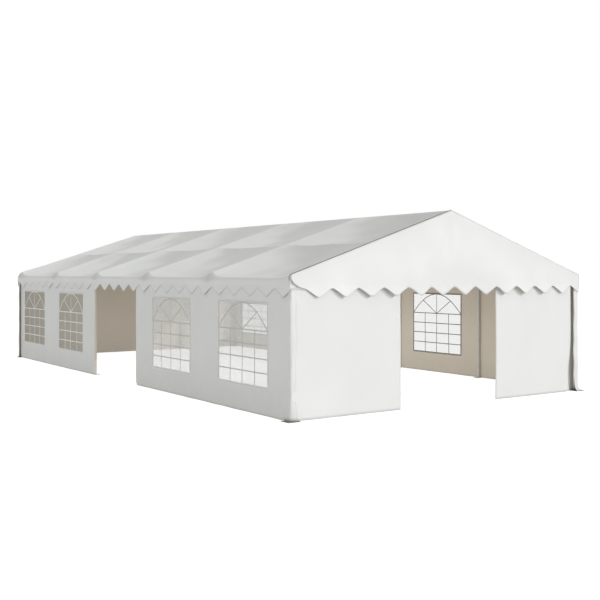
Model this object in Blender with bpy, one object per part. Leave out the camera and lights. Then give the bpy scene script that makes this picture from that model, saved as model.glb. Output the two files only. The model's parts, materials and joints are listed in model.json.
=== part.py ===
"""Marquee tent, 6 m wide and 12 m long, in five bays.

A frame of round steel tubes carries a white coated-fabric roof with a scalloped valance.
Fabric walls hang inside the valance: two window bays each side of a doorway on both long
sides, a doorway in the front gable, and a plain rear gable.

Metres, +Z up, +Y from the front gable to the rear one. The origin is at ground level in the
middle of the plan.
"""

import math

import bmesh
import bpy
from mathutils import Vector

# Plan and heights, to the outer faces of the walls and the top of the roof.
WIDTH = 6.0
LENGTH = 12.0
RIDGE_HEIGHT = 3.02
EAVE_HEIGHT = 1.99
BAYS = 5

# Sheet and film, thicker than the real half millimetre so that they are solids.
SHEET = 0.004
FILM = 0.002
GAP = 0.0003

# Tubes of the frame and the sleeves that join them.
TUBE_RADIUS = 0.025
BEAM_RADIUS = 0.021
SLEEVE_RADIUS = 0.029
BEND_RADIUS = 0.12
SLEEVE_REACH = 0.12
SLEEVE_FOOT = 1.852
TUBE_SIDES = 12
BEND_STEPS = 5

# Foot plates: wide under the corner posts, small and set inwards under the others.
CORNER_PLATE = 0.20
MIDDLE_PLATE = 0.11
PLATE_THICKNESS = 0.008
PLATE_SETBACK = 0.002

# Walls.
WALL_FOOT = 0.010
WALL_TOP = 1.85
SIDE_DOOR_FRONT = 5.135
SIDE_DOOR_REAR = 7.160
FRONT_DOOR_LEFT = -1.024
FRONT_DOOR_RIGHT = 0.966
FRONT_PANEL_END = 2.86

# Windows, measured from the front of each bay.
WINDOW_START = 0.583
WINDOW_WIDTH = 1.434
WINDOW_FOOT = 0.400
WINDOW_TOP = 1.615
WINDOW_BAYS = (0, 1, 3, 4)
FILM_MARGIN = 0.03

# The right-hand side's front windows sit this much nearer the front gable.
RIGHT_WINDOW_SHIFT = {0: 0.15, 1: 0.06}

# Scalloped valance.
SCALLOPS_ACROSS = 13
HEM_TIP = 1.70
HEM_VALLEY = 1.83
HEM_FLARE = 0.015
SIDE_SCALLOP_SHIFT = 0.15
GABLE_STANDOFF = 0.004
ROOF_END = 6.010

# Mid-slope purlins and the gable's inner posts.
PURLIN_OFFSET = 1.56
GABLE_POST_X = 2.10
GABLE_BEAM_HEIGHT = 1.855

# Worked out from the values above.
HALF_WIDTH = WIDTH / 2
HALF_LENGTH = LENGTH / 2
BAY = LENGTH / BAYS
PITCH = WIDTH / SCALLOPS_ACROSS
MIDDLE_PLATE_SHIFT = TUBE_RADIUS - PLATE_SETBACK - MIDDLE_PLATE / 2
POST_X = HALF_WIDTH - SHEET - GAP - FILM - GAP - TUBE_RADIUS
END_POST_Y = HALF_LENGTH - SHEET - GAP - TUBE_RADIUS
SLOPE = math.atan2(RIDGE_HEIGHT - EAVE_HEIGHT, HALF_WIDTH)
TURN = math.pi / 2 - SLOPE
ROOF_RISE = SLEEVE_RADIUS + GAP + SHEET
RIDGE_AXIS_Z = RIDGE_HEIGHT - ROOF_RISE / math.cos(SLOPE)
BEND_X = POST_X - BEND_RADIUS
BEND_END_X = BEND_X + BEND_RADIUS * math.cos(TURN)
BEND_END_Z = RIDGE_AXIS_Z - BEND_END_X * math.tan(SLOPE)
BEND_Z = BEND_END_Z - BEND_RADIUS * math.sin(TURN)
BEND_INNER = BEND_RADIUS + SLEEVE_RADIUS + GAP
KNUCKLE_FOOT_X = BEND_END_X - SLEEVE_REACH * math.cos(SLOPE)
KNUCKLE_TOP_X = SLEEVE_REACH * math.cos(SLOPE)
COLLAR_REACH = SLEEVE_REACH / 2 * math.cos(SLOPE)
PORTAL_Y = [-END_POST_Y, *(BAY * k - HALF_LENGTH for k in range(1, BAYS)), END_POST_Y]

MATERIALS = {
    "galvanised_steel": ((0.62, 0.64, 0.65, 1.0), 0.42, 1.0),
    "white_sheet": ((0.86, 0.87, 0.85, 1.0), 0.55, 0.0),
    "clear_film": ((0.93, 0.95, 0.95, 1.0), 0.10, 0.0),
}


def clear_scene():
    for found in list(bpy.data.objects):
        bpy.data.objects.remove(found, do_unlink=True)


def material(name):
    """A Principled material of the table above, made once."""
    made = bpy.data.materials.get(name)
    if made:
        return made
    colour, roughness, metallic = MATERIALS[name]
    made = bpy.data.materials.new(name)
    made.use_nodes = True
    shader = made.node_tree.nodes["Principled BSDF"]
    shader.inputs["Base Color"].default_value = colour
    shader.inputs["Roughness"].default_value = roughness
    shader.inputs["Metallic"].default_value = metallic
    return made


def new_object(name, mesh, material_name, location=(0, 0, 0), mirrored=False):
    """Links an object; a mirrored one is turned half round about the vertical axis."""
    made = bpy.data.objects.new(name, mesh)
    bpy.context.scene.collection.objects.link(made)
    if not mesh.materials:
        mesh.materials.append(material(material_name))
    made.location = location
    if mirrored:
        made.rotation_euler = (0, 0, math.pi)
    return made


def finish_mesh(name, bm, smooth=False):
    bmesh.ops.recalc_face_normals(bm, faces=bm.faces)
    mesh = bpy.data.meshes.new(name)
    bm.to_mesh(mesh)
    bm.free()
    if smooth:
        mesh.shade_smooth()
        mesh.set_sharp_from_angle(angle=math.radians(35))
    return mesh


def sweep(bm, path, radius, up, sides=TUBE_SIDES):
    """Adds a closed round bar along a flat path, mitred where the path turns.

    One corner of each ring faces up, so that the bar's full radius shows there.
    """
    path = [Vector(p) for p in path]
    up = Vector(up).normalized()
    rings = []
    for i, point in enumerate(path):
        before = (point - path[i - 1]).normalized() if i else None
        after = (path[i + 1] - point).normalized() if i + 1 < len(path) else None
        along = ((before or after) + (after or before)).normalized()
        stretch = 1 / max(0.2, along.dot(before or after))
        turned = (after or before).cross(before or after)
        side = along.cross(up)
        if side.length < 1e-6:
            side = along.orthogonal()
        side.normalize()
        top = side.cross(along).normalized()
        in_plane, across = (top, side)
        if turned.length > 1e-6 and abs(turned.normalized().dot(top)) > 0.5:
            in_plane, across = (side, top)
        ring = []
        for k in range(sides):
            angle = 2 * math.pi * k / sides
            a = radius * math.cos(angle)
            b = radius * math.sin(angle)
            offset = top * a + side * b
            flat = offset.dot(in_plane) * (stretch - 1)
            ring.append(bm.verts.new(point + offset + in_plane * flat))
        rings.append(ring)
    for first, second in zip(rings, rings[1:]):
        for k in range(sides):
            j = (k + 1) % sides
            bm.faces.new((first[k], first[j], second[j], second[k]))
    bm.faces.new(rings[0])
    bm.faces.new(rings[-1])


def bar(name, path, radius, up):
    bm = bmesh.new()
    sweep(bm, path, radius, up)
    return finish_mesh(name, bm, smooth=True)


def box(bm, low, high):
    made = bmesh.ops.create_cube(bm, size=1.0)["verts"]
    low, high = Vector(low), Vector(high)
    for v in made:
        v.co = (low + high) / 2 + Vector(a * b for a, b in zip(v.co, high - low))


def join(body, others, operation="UNION"):
    """Boolean modifiers on body; each other object becomes a hidden helper."""
    for k, other in enumerate(others):
        modifier = body.modifiers.new(f"{operation.lower()}_{k}", "BOOLEAN")
        modifier.operation = operation
        modifier.solver = "EXACT"
        modifier.object = other
        other.hide_render = True
        other.display_type = "WIRE"


def applied_copy(body, name):
    """The mesh of body with its modifiers applied, for pieces that repeat."""
    bpy.context.view_layer.update()
    graph = bpy.context.evaluated_depsgraph_get()
    mesh = bpy.data.meshes.new_from_object(body.evaluated_get(graph))
    mesh.name = name
    mesh.shade_smooth()
    mesh.set_sharp_from_angle(angle=math.radians(35))
    for used in [m.object for m in body.modifiers if m.type == "BOOLEAN"]:
        bpy.data.objects.remove(used, do_unlink=True)
    bpy.data.objects.remove(body, do_unlink=True)
    return mesh


def helper(name, mesh):
    return new_object(name, mesh, "galvanised_steel")


def plate_and_tube(height, plate_side, plate_shift):
    """A tube on a square foot plate, whose middle may be shifted from the tube's."""
    half = plate_side / 2
    x, y = plate_shift
    bm = bmesh.new()
    box(bm, (x - half, y - half, 0), (x + half, y + half, PLATE_THICKNESS))
    plate = helper("plate", finish_mesh("plate", bm))
    path = [(0, 0, PLATE_THICKNESS / 2), (0, 0, height)]
    join(plate, [helper("tube", bar("tube", path, TUBE_RADIUS, (1, 0, 0)))])
    return plate


def side_post_mesh(plate_side, plate_shift):
    """A post of the right-hand side, with the bent knuckle that takes a rafter's foot.

    The knuckle is bored for the eave beam.
    """
    post = plate_and_tube(BEND_Z, plate_side, plate_shift)
    end = slope_point(KNUCKLE_FOOT_X)
    across = [(POST_X, SLEEVE_FOOT), *bend_points(BEND_RADIUS), (end.x, end.z)]
    path = [(x - POST_X, 0, z) for x, z in across]
    join(post, [helper("eave_knuckle", bar("eave_knuckle", path, SLEEVE_RADIUS, (0, 1, 0)))])
    middle = eave_point()
    middle.x -= POST_X
    join(post, [bore_helper("eave_bore", middle, (0, 0, 1))], "DIFFERENCE")
    return applied_copy(post, "post")


def add_posts():
    corner = side_post_mesh(CORNER_PLATE, (0, 0))
    middle = side_post_mesh(MIDDLE_PLATE, (MIDDLE_PLATE_SHIFT, 0))
    last = len(PORTAL_Y) - 1
    for side, sign in (("left", -1), ("right", 1)):
        for k, y in enumerate(PORTAL_Y):
            mesh = corner if k in (0, last) else middle
            place = (sign * POST_X, y, 0)
            new_object(f"post_{side}_{k + 1}", mesh, "galvanised_steel", place, sign < 0)


def slope_point(distance_x):
    """A point of the right-hand rafter's axis, at that distance from the middle."""
    return Vector((distance_x, 0, RIDGE_AXIS_Z - distance_x * math.tan(SLOPE)))


def bend_points(radius):
    """Points round the eave bend, from the wall side up to the slope, about its centre."""
    points = []
    for k in range(BEND_STEPS + 1):
        angle = TURN * k / BEND_STEPS
        points.append((BEND_X + radius * math.cos(angle), BEND_Z + radius * math.sin(angle)))
    return points


def eave_point():
    """The middle of the right-hand eave bend, where the eave beam runs."""
    x = BEND_X + BEND_RADIUS * math.cos(TURN / 2)
    return Vector((x, 0, BEND_Z + BEND_RADIUS * math.sin(TURN / 2)))


def bore_helper(name, middle, up):
    """A cutter along Y through that point, for a beam."""
    reach = 2 * SLEEVE_RADIUS
    ends = [(middle.x, -reach, middle.z), (middle.x, reach, middle.z)]
    return helper(name, bar(name, ends, BEAM_RADIUS + GAP, up))


def add_beam(name, middle, up):
    """A tube as long as the tent, through the knuckles or collars at that place."""
    reach = END_POST_Y + TUBE_RADIUS
    ends = [(middle.x, y, middle.z) for y in (-reach, reach)]
    new_object(name, bar(name, ends, BEAM_RADIUS, up), "galvanised_steel")


def add_beams():
    """The ridge beam, and on each side a purlin half-way down the slope and an eave beam."""
    add_beam("ridge_beam", slope_point(0), (0, 0, 1))
    for side, sign in (("left", -1), ("right", 1)):
        purlin = slope_point(PURLIN_OFFSET)
        purlin.x *= sign
        add_beam(f"purlin_{side}", purlin, slope_normal(sign))
        eave = eave_point()
        eave.x *= sign
        add_beam(f"eave_beam_{side}", eave, (0, 0, 1))


def slope_normal(sign):
    """The direction square to the right-hand slope, or with sign -1 to the left-hand one."""
    return (sign * math.sin(SLOPE), 0, math.cos(SLOPE))


def mirrored_path(right):
    """A path over the ridge, from the left-hand end to the given right-hand one."""
    return [(-right.x, 0, right.z), (0, 0, RIDGE_AXIS_Z), (right.x, 0, right.z)]


def add_rafter_pairs():
    """Two rafters held by a bent knuckle at the ridge, with a collar half-way down each.

    The knuckle is bored for the ridge beam, and the collars for the purlins.
    """
    foot = slope_point(KNUCKLE_FOOT_X - GAP * math.cos(SLOPE))
    pair = helper("rafters", bar("rafters", mirrored_path(foot), TUBE_RADIUS, (0, 1, 0)))
    low = slope_point(KNUCKLE_TOP_X)
    sleeves = [helper("knuckle", bar("knuckle", mirrored_path(low), SLEEVE_RADIUS, (0, 1, 0)))]
    bores = [bore_helper("ridge_bore", slope_point(0), (0, 0, 1))]
    for side, sign in (("left", -1), ("right", 1)):
        top = slope_point(PURLIN_OFFSET - COLLAR_REACH)
        end = slope_point(PURLIN_OFFSET + COLLAR_REACH)
        path = [(sign * p.x, 0, p.z) for p in (top, end)]
        collar = bar("collar", path, SLEEVE_RADIUS, (0, 1, 0))
        sleeves.append(helper(f"collar_{side}", collar))
        middle = slope_point(PURLIN_OFFSET)
        middle.x *= sign
        bores.append(bore_helper(f"purlin_bore_{side}", middle, slope_normal(sign)))
    join(pair, sleeves)
    join(pair, bores, "DIFFERENCE")
    mesh = applied_copy(pair, "rafter_pair")
    for k, y in enumerate(PORTAL_Y):
        new_object(f"rafter_pair_{k + 1}", mesh, "galvanised_steel", (0, y, 0))


def add_gable_frames():
    """A beam between the corner posts at eave height, on two inner posts."""
    reach = POST_X - SLEEVE_RADIUS - GAP
    lift = GABLE_BEAM_HEIGHT
    for end, sign in (("front", -1), ("rear", 1)):
        shift = (0, sign * MIDDLE_PLATE_SHIFT)
        post = applied_copy(plate_and_tube(lift, MIDDLE_PLATE, shift), "gable_post")
        y = sign * END_POST_Y
        path = [(-reach, y, lift), (reach, y, lift)]
        beam = helper(f"gable_frame_{end}", bar("gable_beam", path, BEAM_RADIUS, (0, 0, 1)))
        posts = []
        for k, x in enumerate((-GABLE_POST_X, GABLE_POST_X)):
            made = helper(f"gable_post_{end}_{k}", post)
            made.location = (x, y, 0)
            posts.append(made)
        join(beam, posts)


def extrude_section(name, outline, y_from, y_to):
    """A prism along Y with that outline, given as x and z."""
    bm = bmesh.new()
    bm.faces.new([bm.verts.new((x, y_from, z)) for x, z in outline])
    grown = bmesh.ops.extrude_face_region(bm, geom=bm.faces[:])["geom"]
    moved = [g for g in grown if isinstance(g, bmesh.types.BMVert)]
    bmesh.ops.translate(bm, verts=moved, vec=(0, y_to - y_from, 0))
    return finish_mesh(name, bm)


def add_roof():
    """One flat sheet on each slope, from the ridge to the eave bend."""
    normal = Vector(slope_normal(1))
    inner = normal * (SLEEVE_RADIUS + GAP)
    outer = normal * ROOF_RISE
    foot = slope_point(BEND_END_X - GAP)
    top_outer = (GAP, RIDGE_HEIGHT - GAP * math.tan(SLOPE))
    top_inner = (GAP, RIDGE_HEIGHT - SHEET / math.cos(SLOPE) - GAP * math.tan(SLOPE))
    foot_outer = foot + outer
    foot_inner = foot + inner
    outline = [top_outer, (foot_outer.x, foot_outer.z), (foot_inner.x, foot_inner.z), top_inner]
    mesh = extrude_section("roof", outline, -ROOF_END, ROOF_END)
    new_object("roof_right", mesh, "white_sheet")
    new_object("roof_left", mesh, "white_sheet", mirrored=True)


def scallop_stops(low, high, shift):
    """Positions and heights of a scalloped hem between low and high, tips and valleys."""
    stops = []
    first = math.floor((low - shift) / (PITCH / 2)) - 1
    last = math.ceil((high - shift) / (PITCH / 2)) + 1
    for k in range(first, last + 1):
        at = shift + k * PITCH / 2
        height = HEM_VALLEY if k % 2 else HEM_TIP
        stops.append((at, height))
    inside = [(at, height) for at, height in stops if low + 0.01 < at < high - 0.01]
    return [(low, hem_height(stops, low)), *inside, (high, hem_height(stops, high))]


def hem_height(stops, at):
    """The height of the zigzag hem at one position."""
    for (a, za), (b, zb) in zip(stops, stops[1:]):
        if a <= at <= b:
            return za + (zb - za) * (at - a) / (b - a)
    return stops[-1][1]


def add_side_valances():
    """The sheet that turns over each eave bend and hangs to a scalloped hem."""
    radius = BEND_INNER / math.cos(TURN / BEND_STEPS / 2)
    inner_arc = bend_points(radius)
    outer_arc = bend_points(radius + SHEET)
    stops = scallop_stops(-ROOF_END, ROOF_END, SIDE_SCALLOP_SHIFT - HALF_LENGTH)
    for side, sign in (("left", -1), ("right", 1)):
        bm = bmesh.new()
        columns = []
        for y, hem in stops:
            flare = HEM_FLARE * (BEND_Z - hem) / (BEND_Z - HEM_TIP)
            outer = [(x, z) for x, z in reversed(outer_arc)]
            outer.append((outer_arc[0][0] + flare, hem))
            inner = [(inner_arc[0][0] + flare, hem), *inner_arc]
            columns.append([bm.verts.new((sign * x, y, z)) for x, z in outer + inner])
        loop = len(columns[0])
        for first, second in zip(columns, columns[1:]):
            for k in range(loop):
                j = (k + 1) % loop
                bm.faces.new((first[k], first[j], second[j], second[k]))
        bm.faces.new(columns[0])
        bm.faces.new(columns[-1])
        new_object(f"valance_{side}", finish_mesh("valance", bm), "white_sheet")


def gable_outline():
    """The gable sheet's edge: scallops along the foot, then up under the roof."""
    under = BEND_INNER - GAP
    arc = bend_points(under)
    reach = arc[0][0] - GAP
    foot = scallop_stops(-reach, reach, -HALF_WIDTH)
    top = RIDGE_AXIS_Z + under_ridge()
    right = [(x, z) for x, z in arc]
    left = [(-x, z) for x, z in reversed(arc)]
    return [*foot, *right, (0.0, top), *left]


def under_ridge():
    """How far the underside of the roof is above the ridge axis, less a gap."""
    return SLEEVE_RADIUS / math.cos(SLOPE)


def add_gables():
    outline = gable_outline()
    face = HALF_LENGTH + GABLE_STANDOFF
    for end, sign in (("front", -1), ("rear", 1)):
        low, high = sorted((sign * face, sign * (face + SHEET)))
        new_object(f"gable_{end}", extrude_section("gable", outline, low, high), "white_sheet")


def pierced_plate(name, columns, rows, holes, to_point, thickness):
    """A plate of cells between column and row lines, with some cells left open."""
    bm = bmesh.new()
    grid = [[bm.verts.new(to_point(a, b)) for b in rows] for a in columns]
    for i in range(len(columns) - 1):
        for j in range(len(rows) - 1):
            if (i, j) not in holes:
                cell = (grid[i][j], grid[i + 1][j], grid[i + 1][j + 1], grid[i][j + 1])
                bm.faces.new(cell)
    grown = bmesh.ops.extrude_face_region(bm, geom=bm.faces[:])["geom"]
    moved = [g for g in grown if isinstance(g, bmesh.types.BMVert)]
    bmesh.ops.translate(bm, verts=moved, vec=thickness)
    return finish_mesh(name, bm)


def add_side_walls():
    """Each long side has a front and a rear wall with two windows, and a doorway between."""
    parts = (("front", 0.0, SIDE_DOOR_FRONT), ("rear", SIDE_DOOR_REAR, LENGTH))
    rows = [WALL_FOOT, WINDOW_FOOT, WINDOW_TOP, WALL_TOP]
    for side, sign in (("left", -1), ("right", 1)):
        shift = RIGHT_WINDOW_SHIFT if side == "right" else {}
        for part, start, stop in parts:
            starts = [BAY * k + WINDOW_START - shift.get(k, 0.0) for k in WINDOW_BAYS]
            windows = [s for s in starts if start < s < stop]
            edges = [e for s in windows for e in (s, s + WINDOW_WIDTH)]
            columns = [y - HALF_LENGTH for y in (start, *edges, stop)]
            holes = {(1, 1), (3, 1)}
            wall = pierced_plate(
                "side_wall", columns, rows, holes,
                lambda y, z, s=sign: (s * HALF_WIDTH, y, z), (-sign * SHEET, 0, 0),
            )
            new_object(f"wall_{side}_{part}", wall, "white_sheet")
            add_film(f"film_{side}_{part}", sign, edges[0], edges[-1])


def add_film(name, sign, start, stop):
    """One clear sheet behind the two windows of a wall."""
    outer = HALF_WIDTH - SHEET - GAP
    low_x, high_x = sorted((sign * (outer - FILM), sign * outer))
    bm = bmesh.new()
    box(
        bm,
        (low_x, start - FILM_MARGIN - HALF_LENGTH, WINDOW_FOOT - FILM_MARGIN),
        (high_x, stop + FILM_MARGIN - HALF_LENGTH, WINDOW_TOP + FILM_MARGIN),
    )
    new_object(name, finish_mesh(name, bm), "clear_film")


def add_gable_walls():
    """Two plain panels beside the front doorway, and one plain wall at the rear."""
    corner = HALF_WIDTH - SHEET - GAP
    spans = (
        ("panel_front_left", -1, -corner, FRONT_DOOR_LEFT),
        ("panel_front_right", -1, FRONT_DOOR_RIGHT, FRONT_PANEL_END),
        ("wall_rear", 1, -corner, corner),
    )
    for name, sign, left, right in spans:
        low_y, high_y = sorted((sign * (HALF_LENGTH - SHEET), sign * HALF_LENGTH))
        bm = bmesh.new()
        box(bm, (left, low_y, WALL_FOOT), (right, high_y, WALL_TOP))
        new_object(name, finish_mesh(name, bm), "white_sheet")


def main():
    clear_scene()
    add_posts()
    add_beams()
    add_rafter_pairs()
    add_gable_frames()
    add_roof()
    add_side_valances()
    add_gables()
    add_side_walls()
    add_gable_walls()


main()
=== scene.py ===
"""Marquee tent: cloth, window film, trim and finishes round its packed steel frame.

Metres, +Z up, +Y from the front gable to the rear one. The file is laid out as a Blender
add-on, but it is run as a script.
"""

import json
import math

import bmesh
import bpy
import numpy as np
from mathutils import Matrix, Vector

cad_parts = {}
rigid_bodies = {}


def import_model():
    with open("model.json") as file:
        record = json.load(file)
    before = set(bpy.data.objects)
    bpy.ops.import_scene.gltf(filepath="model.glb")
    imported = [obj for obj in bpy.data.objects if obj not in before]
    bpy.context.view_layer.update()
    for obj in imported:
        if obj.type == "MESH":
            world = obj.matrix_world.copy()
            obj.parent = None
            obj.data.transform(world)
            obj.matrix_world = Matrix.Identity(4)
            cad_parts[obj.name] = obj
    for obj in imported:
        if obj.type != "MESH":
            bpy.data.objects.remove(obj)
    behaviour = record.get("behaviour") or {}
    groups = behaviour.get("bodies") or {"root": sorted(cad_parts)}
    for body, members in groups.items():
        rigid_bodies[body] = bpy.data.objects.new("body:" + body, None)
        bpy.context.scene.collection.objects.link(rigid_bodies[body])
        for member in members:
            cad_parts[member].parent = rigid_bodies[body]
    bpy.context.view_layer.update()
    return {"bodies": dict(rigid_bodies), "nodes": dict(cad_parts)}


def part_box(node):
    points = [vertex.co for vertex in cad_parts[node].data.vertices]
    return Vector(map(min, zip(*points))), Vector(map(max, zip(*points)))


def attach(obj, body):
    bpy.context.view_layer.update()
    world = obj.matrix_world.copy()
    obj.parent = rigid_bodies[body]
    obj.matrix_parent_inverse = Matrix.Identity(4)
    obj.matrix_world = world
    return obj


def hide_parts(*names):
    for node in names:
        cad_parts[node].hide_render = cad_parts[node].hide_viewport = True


bl_info = {
    "name": "Marquee Tent",
    "version": (1, 0, 0),
    "blender": (4, 5, 0),
    "location": "View3D > Sidebar > Marquee",
    "description": "Cloth, windows and trim of a frame marquee",
    "category": "Object",
}

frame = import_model()
BODY = next(iter(frame["bodies"]))

# Places read from the frame.
WALL_LOW, WALL_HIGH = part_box("wall_rear")
HALF_WIDTH = round(WALL_HIGH.x + 0.0043, 4)
HALF_LENGTH = round(WALL_HIGH.y, 4)
RIDGE_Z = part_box("roof_right")[1].z
ROOF_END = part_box("roof_right")[1].y
DOOR_FRONT_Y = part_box("wall_left_front")[1].y
DOOR_REAR_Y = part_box("wall_left_rear")[0].y
DOOR_LEFT_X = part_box("panel_front_left")[1].x
DOOR_RIGHT_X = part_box("panel_front_right")[0].x
FRONT_PANEL_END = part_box("panel_front_right")[1].x
FILM_MARGIN = 0.03
WINDOW_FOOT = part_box("film_left_front")[0].z + FILM_MARGIN
WINDOW_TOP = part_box("film_left_front")[1].z - FILM_MARGIN
EAVE_BEAM = (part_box("eave_beam_right")[0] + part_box("eave_beam_right")[1]) / 2
POST_X = (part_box("gable_frame_front")[1].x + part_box("post_right_1")[1].x) / 2
HEM_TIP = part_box("valance_left")[0].z
END_POST_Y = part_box("post_left_6")[1].y - 0.1

# Plan of the bays, and the windows in them.
BAYS = 5
BAY = 2 * HALF_LENGTH / BAYS
WINDOW_WIDTH = 1.434
RAFTER_Y = [-END_POST_Y, *(BAY * k - HALF_LENGTH for k in range(1, BAYS)), END_POST_Y]

# Slopes of the roof, and where the cover hangs straight down.
SLOPE = math.atan2(1.03, HALF_WIDTH)
PURLIN_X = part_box("purlin_right")[0].x + 0.0206
COVER_X = HALF_WIDTH + 0.0017
HANG_TOP = 1.90

# Half the width of the crest that a rafter's tube gives the cloth.
CREST = 0.02

# Scalloped hems.
SCALLOPS_ACROSS = 13
PITCH = 2 * HALF_WIDTH / SCALLOPS_ACROSS
HEM_VALLEY = HEM_TIP + 0.13
SIDE_SHIFT = 0.15 - HALF_LENGTH

# Where the front gable's hem is rolled up to the eave at its left end: (x, z).
CUT_CORNER = ((-3.001, 1.985), (-2.955, 1.907), (-2.87, 1.852), (-2.77, 1.829))

CLOTH = 0.0012

# A hung wall's folds go no deeper inwards than this, so that no post shows through them.
KEEP_OFF = -0.0026


def smooth(a, b, x):
    """0 below a and 1 above b, with a soft step between."""
    t = np.clip((x - a) / (b - a), 0.0, 1.0)
    return t * t * (3 - 2 * t)


def soft_waves(u, v, wavelength, seed, count=6):
    """A smooth uneven surface of about unit height, from a few waves."""
    draw = np.random.default_rng(seed)
    total = 0.0
    for _ in range(count):
        angle = draw.uniform(0, 2 * math.pi)
        rate = 2 * math.pi / (wavelength * draw.uniform(0.7, 1.5))
        phase = draw.uniform(0, 2 * math.pi)
        total = total + np.sin(rate * (u * math.cos(angle) + v * math.sin(angle)) + phase)
    return total / math.sqrt(count)


def new_material(name):
    made = bpy.data.materials.new(name)
    made.use_nodes = True
    tree = made.node_tree
    shader = tree.nodes["Principled BSDF"]
    return made, tree, shader


def add_node(tree, kind, **inputs):
    node = tree.nodes.new(kind)
    for name, value in inputs.items():
        node.inputs[name.replace("_", " ")].default_value = value
    return node


def math_node(tree, operation, a, b):
    node = tree.nodes.new("ShaderNodeMath")
    node.operation = operation
    for socket, value in zip(node.inputs, (a, b)):
        if isinstance(value, (int, float)):
            socket.default_value = value
        else:
            tree.links.new(value, socket)
    return node.outputs[0]


def ramp(tree, factor, stops):
    """A colour ramp over stops of (place, colour), fed by factor."""
    node = tree.nodes.new("ShaderNodeValToRGB")
    elements = node.color_ramp.elements
    while len(elements) < len(stops):
        elements.new(0.5)
    for element, (place, colour) in zip(elements, stops):
        element.position = place
        element.color = (*colour, 1.0)
    tree.links.new(factor, node.inputs["Fac"])
    return node.outputs["Color"]


def scaled(colour, amount):
    return tuple(c * amount for c in colour)


def weave_height(tree, uv, threads_apart):
    """The height of a plain weave in UV space, in metres."""
    waves = []
    for direction in ("X", "Y"):
        wave = add_node(tree, "ShaderNodeTexWave", Scale=math.pi / (10 * threads_apart))
        wave.bands_direction = direction
        tree.links.new(uv, wave.inputs["Vector"])
        waves.append(wave.outputs["Fac"])
    return math_node(tree, "MULTIPLY", *waves)


def cloth_material(name, colour, roughness, ground_shade=True, shade_painted=False):
    """Coated cloth: a fine weave, faint crumple marks and painted shade that darkens it towards the
    ground.

    Cloth with painted shade is darkened where the mesh's attribute of painted shade says so.
    """
    made, tree, shader = new_material(name)
    where = tree.nodes.new("ShaderNodeTexCoord")
    mottle = add_node(tree, "ShaderNodeTexNoise", Scale=1.3, Detail=3.0, Roughness=0.5)
    tree.links.new(where.outputs["Object"], mottle.inputs["Vector"])
    tone = ramp(
        tree, mottle.outputs["Fac"],
        [(0.30, scaled(colour, 0.965)), (0.70, colour)],
    )
    # Painted shade near the ground: the colour grows darker low on the cloth, with noise breaking up its
    # edge.
    if ground_shade:
        split = tree.nodes.new("ShaderNodeSeparateXYZ")
        tree.links.new(where.outputs["Object"], split.inputs["Vector"])
        ground_shade_noise = add_node(tree, "ShaderNodeTexNoise", Scale=7.0, Detail=5.0, Roughness=0.6)
        tree.links.new(where.outputs["Object"], ground_shade_noise.inputs["Vector"])
        jitter = math_node(tree, "MULTIPLY", ground_shade_noise.outputs["Fac"], 0.5)
        height = math_node(tree, "ADD", split.outputs["Z"], jitter)
        ground_shade_ramp = ramp(
            tree, height,
            [(0.20, (0.88, 0.88, 0.865)), (0.60, (0.96, 0.96, 0.955)), (1.0, (1.0, 1.0, 1.0))],
        )
        mix = tree.nodes.new("ShaderNodeMix")
        mix.data_type = "RGBA"
        mix.blend_type = "MULTIPLY"
        mix.inputs["Factor"].default_value = 1.0
        tree.links.new(tone, mix.inputs[6])
        tree.links.new(ground_shade_ramp, mix.inputs[7])
        tone = mix.outputs[2]
    # Painted shade: the mesh attribute darkens the colour towards black where the roof's cloth is turned
    # from the light and in its folds.
    if shade_painted:
        shade_attribute = tree.nodes.new("ShaderNodeAttribute")
        shade_attribute.attribute_name = "painted_shade"
        mix = tree.nodes.new("ShaderNodeMix")
        mix.data_type = "RGBA"
        tree.links.new(shade_attribute.outputs["Fac"], mix.inputs["Factor"])
        tree.links.new(tone, mix.inputs[6])
        mix.inputs[7].default_value = (0.0, 0.0, 0.0, 1.0)
        tone = mix.outputs[2]
    tree.links.new(tone, shader.inputs["Base Color"])
    shader.inputs["Roughness"].default_value = roughness
    shader.inputs["Specular IOR Level"].default_value = 0.35
    crumple = add_node(tree, "ShaderNodeTexNoise", Scale=3.2, Detail=5.0, Roughness=0.55)
    tree.links.new(where.outputs["Object"], crumple.inputs["Vector"])
    coarse = add_node(tree, "ShaderNodeBump", Strength=0.30, Distance=0.004)
    tree.links.new(crumple.outputs["Fac"], coarse.inputs["Height"])
    fine = add_node(tree, "ShaderNodeBump", Strength=0.10, Distance=0.0004)
    weave = weave_height(tree, where.outputs["UV"], 0.003)
    tree.links.new(weave, fine.inputs["Height"])
    tree.links.new(coarse.outputs["Normal"], fine.inputs["Normal"])
    tree.links.new(fine.outputs["Normal"], shader.inputs["Normal"])
    return made


def film_material(name, colour, alpha):
    """Clear flexible film with a slight haze and shallow ripples."""
    made, tree, shader = new_material(name)
    where = tree.nodes.new("ShaderNodeTexCoord")
    haze = add_node(tree, "ShaderNodeTexNoise", Scale=2.5, Detail=3.0)
    tree.links.new(where.outputs["Object"], haze.inputs["Vector"])
    tone = ramp(tree, haze.outputs["Fac"], [(0.3, scaled(colour, 0.94)), (0.7, colour)])
    tree.links.new(tone, shader.inputs["Base Color"])
    shader.inputs["Alpha"].default_value = alpha
    shader.inputs["Roughness"].default_value = 0.12
    ripple = add_node(tree, "ShaderNodeBump", Strength=0.20, Distance=0.003)
    tree.links.new(haze.outputs["Fac"], ripple.inputs["Height"])
    tree.links.new(ripple.outputs["Normal"], shader.inputs["Normal"])
    made.surface_render_method = "DITHERED"
    return made


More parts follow.
